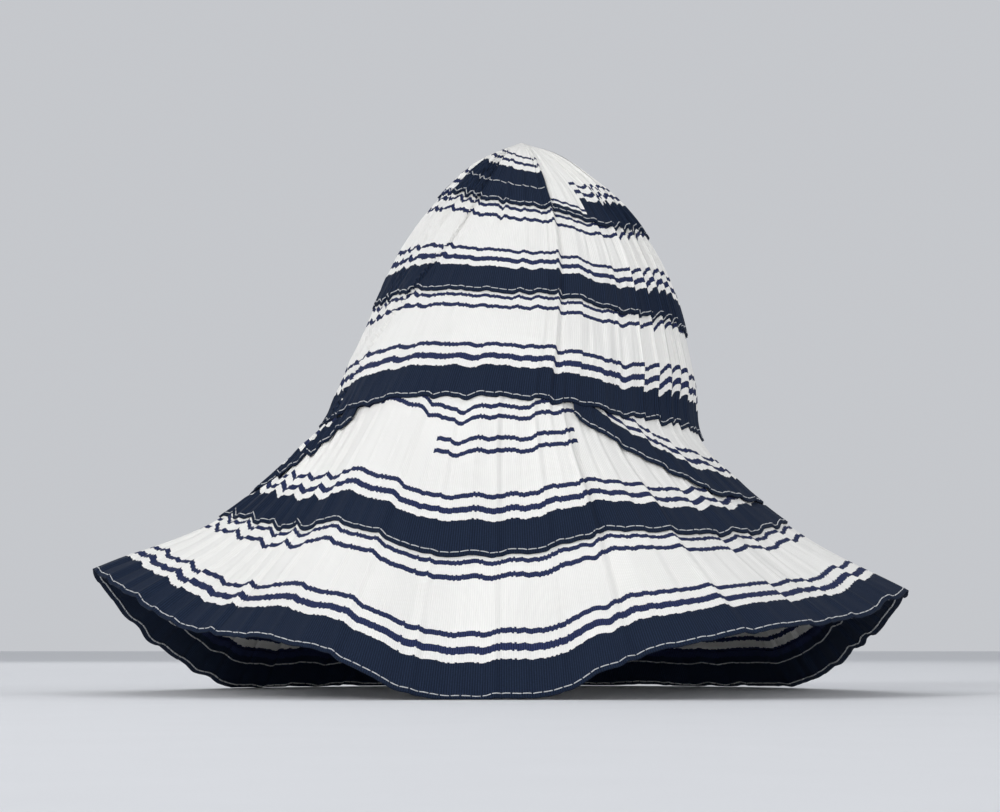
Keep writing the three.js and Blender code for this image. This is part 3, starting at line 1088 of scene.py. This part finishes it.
class StudioSettings(bpy.types.PropertyGroup):
    """The floor, the lights and the camera"""

    azimuth: FloatProperty(
        name="Azimuth", description="Turn of the camera from the front towards the hat's left",
        default=math.radians(5), subtype="ANGLE",
    )
    distance: FloatProperty(
        name="Distance", description="Distance from the camera to the hat's middle",
        default=0.95, min=0.3, unit="LENGTH",
    )
    height: FloatProperty(
        name="Height", description="Height of the camera over the floor",
        default=0.018, min=0.01, unit="LENGTH",
    )
    lens: FloatProperty(
        name="Lens", description="Focal length of the camera in millimetres",
        default=78, min=20, subtype="DISTANCE_CAMERA",
    )
    floor_size: FloatProperty(
        name="Floor size", description="Width of the floor",
        default=60, min=1, unit="LENGTH",
    )
    floor_colour: FloatVectorProperty(
        name="Floor colour", description="Colour of the floor",
        default=(0.72, 0.73, 0.75), size=3, min=0, max=1, subtype="COLOR",
    )
    sky_colour: FloatVectorProperty(
        name="Sky colour", description="Colour of the even light from all round",
        default=(0.80, 0.82, 0.86), size=3, min=0, max=1, subtype="COLOR",
    )
    sky_strength: FloatProperty(
        name="Sky strength", description="Strength of the even light from all round",
        default=0.7, min=0,
    )


class SUNHAT_OT_rows(bpy.types.Operator):
    """Build the crown and brim rows of striped ribbon"""

    bl_idname = "sunhat.rows"
    bl_label = "Ribbon rows"

    def execute(self, context):
        ribbon = context.scene.sun_hat_ribbon
        cloth = Cloth(context.scene.sun_hat_folds, ribbon.thickness)
        plain = ribbed_ribbon("striped_ribbon", STRIPES, RIBBON_WIDTH, ribbon)
        for name, row in rows_of(cloth).items():
            piece, length, flat = build_row(cloth, name, row, ROW_STEPS[name], ribbon)
            material = plain
            if name in PATCHES:
                bands, patches = PATCHES[name]
                spans = patch_spans(patches, cloth.angles, length[:COLUMNS])
                material = ribbed_ribbon(name + "_ribbon", bands, 2 * RIBBON_WIDTH, ribbon, spans)
            piece.data.materials.append(material)
            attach(piece, BODY)
            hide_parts(name)
        return {"FINISHED"}


class SUNHAT_OT_facing(bpy.types.Operator):
    """Build the navy ribbon under the brim's edge"""

    bl_idname = "sunhat.facing"
    bl_label = "Brim facing"

    def execute(self, context):
        ribbon = context.scene.sun_hat_ribbon
        cloth = Cloth(context.scene.sun_hat_folds, ribbon.thickness)
        top = cloth.edge - FACING_INSET - FACING_WIDTH
        bottom = cloth.edge - FACING_INSET
        shares = np.linspace(0, 1, FACING_STEPS + 1)[None, :]
        distances = top[:, None] + (bottom - top)[:, None] * shares
        place = cloth.place(distances, 0 * distances - ribbon.layer_gap)
        length = along(place[:, -1])
        width = cloth.edge[:, None] - distances
        piece = grid_piece(
            "brim_facing_cloth", np.arange(COLUMNS), FACING_STEPS, place, length, width, True
        )
        give_wall(piece, ribbon.thickness)
        piece.data.materials.append(
            ribbed_ribbon("navy_ribbon", FACING_STRIPES, RIBBON_WIDTH, ribbon)
        )
        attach(piece, BODY)
        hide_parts("brim_facing")
        return {"FINISHED"}


class SUNHAT_OT_stitching(bpy.types.Operator):
    """Sew the hems and the facing with lines of pale stitches, outside and inside"""

    bl_idname = "sunhat.stitching"
    bl_label = "Stitching"

    def execute(self, context):
        ribbon = context.scene.sun_hat_ribbon
        cloth = Cloth(context.scene.sun_hat_folds, ribbon.thickness)
        needle = Needle(cloth, ribbon)
        step = ribbon.thickness + ribbon.layer_gap
        fine, bold = ribbon.thread_radius, ribbon.bold_thread_radius
        proud = fine / 2
        rows = rows_of(cloth)
        for name, row in rows.items():
            at = row.bottom - ribbon.stitch_inset
            out = row.offset(at[:, None], step) + ribbon.thickness + proud
            needle.sew(name + "_stitching", at, out, True, fine, row.columns)
            if name != "brim_outer_row":
                needle.sew(name + "_inner_stitching", at, 0 * out - proud, False, fine, row.columns)
        facing = np.full((COLUMNS, 1), -step - bold / 2)
        for name, inset in (("edge", FACING_INSET + ribbon.facing_inset), ("seam", FACING_SEAM)):
            needle.sew(f"facing_{name}_stitching", cloth.edge - inset, facing, False, bold)
        turn = cloth.tip - TIP_TURN
        start, end = (int(np.argmin(abs(cloth.angles - angle))) for angle in TIP_FRONT_ANGLES)
        out = rows["tip_row"].offset(turn[:, None], step) + ribbon.thickness + proud
        needle.sew("tip_turn_stitching", turn, out, True, fine, np.arange(start, end))
        return {"FINISHED"}


class SUNHAT_OT_stage(bpy.types.Operator):
    """Make the floor, the lights and the camera"""

    bl_idname = "sunhat.stage"
    bl_label = "Stage"

    def execute(self, context):
        studio = context.scene.sun_hat_studio
        shape = bmesh.new()
        bmesh.ops.create_grid(shape, x_segments=1, y_segments=1, size=studio.floor_size / 2)
        mesh = bpy.data.meshes.new("floor")
        shape.to_mesh(mesh)
        shape.free()
        floor = bpy.data.objects.new("floor", mesh)
        context.scene.collection.objects.link(floor)
        nodes = Nodes("pale_floor")
        place = nodes.add("ShaderNodeTexCoord").outputs["Object"]
        tone = nodes.math("MULTIPLY_ADD", nodes.noise(place, 30, 4), 0.04, 0.98)
        nodes.tone_colour((*studio.floor_colour,), tone)
        nodes.shader.inputs["Roughness"].default_value = 0.9
        mesh.materials.append(nodes.material)
        self.make_camera(context, studio)
        self.make_lights(context, studio)
        return {"FINISHED"}

    def make_camera(self, context, studio):
        """A level camera just over the floor that looks at the hat's middle."""
        camera = bpy.data.objects.new("camera", bpy.data.cameras.new("camera"))
        context.scene.collection.objects.link(camera)
        middle = (FRAME_LOW + FRAME_HIGH) / 2
        away = Vector((math.sin(studio.azimuth), -math.cos(studio.azimuth), 0))
        camera.location = middle + away * studio.distance
        camera.location.z = studio.height
        camera.rotation_euler = (middle - camera.location).to_track_quat("-Z", "Y").to_euler()
        camera.data.lens = studio.lens
        camera.data.clip_start = 0.01
        context.scene.camera = camera

    def make_lights(self, context, studio):
        """Soft lamps that point at the hat, and an even sky."""
        middle = (FRAME_LOW + FRAME_HIGH) / 2
        for name, place, size, spread, power in LIGHTS:
            data = bpy.data.lights.new(name, "AREA")
            data.size = size
            data.spread = math.radians(spread)
            data.energy = power
            lamp = bpy.data.objects.new(name, data)
            lamp.location = place
            lamp.rotation_euler = (middle - lamp.location).to_track_quat("-Z", "Y").to_euler()
            context.scene.collection.objects.link(lamp)
        world = bpy.data.worlds.new("soft_sky")
        world.use_nodes = True
        background = world.node_tree.nodes["Background"]
        background.inputs["Color"].default_value = (*studio.sky_colour, 1)
        background.inputs["Strength"].default_value = studio.sky_strength
        context.scene.world = world
        context.scene.view_settings.view_transform = "Standard"


class SUNHAT_PT_panel(bpy.types.Panel):
    """Shows the hat's settings and the buttons that build it"""

    bl_label = "Sun Hat"
    bl_idname = "SUNHAT_PT_panel"
    bl_space_type = "VIEW_3D"
    bl_region_type = "UI"
    bl_category = "Sun Hat"

    def draw(self, context):
        layout = self.layout
        for group in SETTINGS:
            settings = getattr(context.scene, group)
            box = layout.box()
            for name in settings.bl_rna.properties.keys():
                if name not in ("name", "rna_type"):
                    box.prop(settings, name)
        for operator in OPERATORS:
            layout.operator(operator.bl_idname)


SETTINGS = {
    "sun_hat_ribbon": RibbonSettings,
    "sun_hat_folds": FoldSettings,
    "sun_hat_studio": StudioSettings,
}
OPERATORS = (SUNHAT_OT_rows, SUNHAT_OT_facing, SUNHAT_OT_stitching, SUNHAT_OT_stage)
CLASSES = (*SETTINGS.values(), *OPERATORS, SUNHAT_PT_panel)


def register():
    for cls in CLASSES:
        bpy.utils.register_class(cls)
    for name, group in SETTINGS.items():
        setattr(bpy.types.Scene, name, PointerProperty(type=group))


def unregister():
    for name in SETTINGS:
        delattr(bpy.types.Scene, name)
    for cls in reversed(CLASSES):
        bpy.utils.unregister_class(cls)


def main():
    register()
    bpy.ops.sunhat.rows()
    bpy.ops.sunhat.facing()
    bpy.ops.sunhat.stitching()
    bpy.ops.sunhat.stage()


if __name__ == "__main__":
    main()
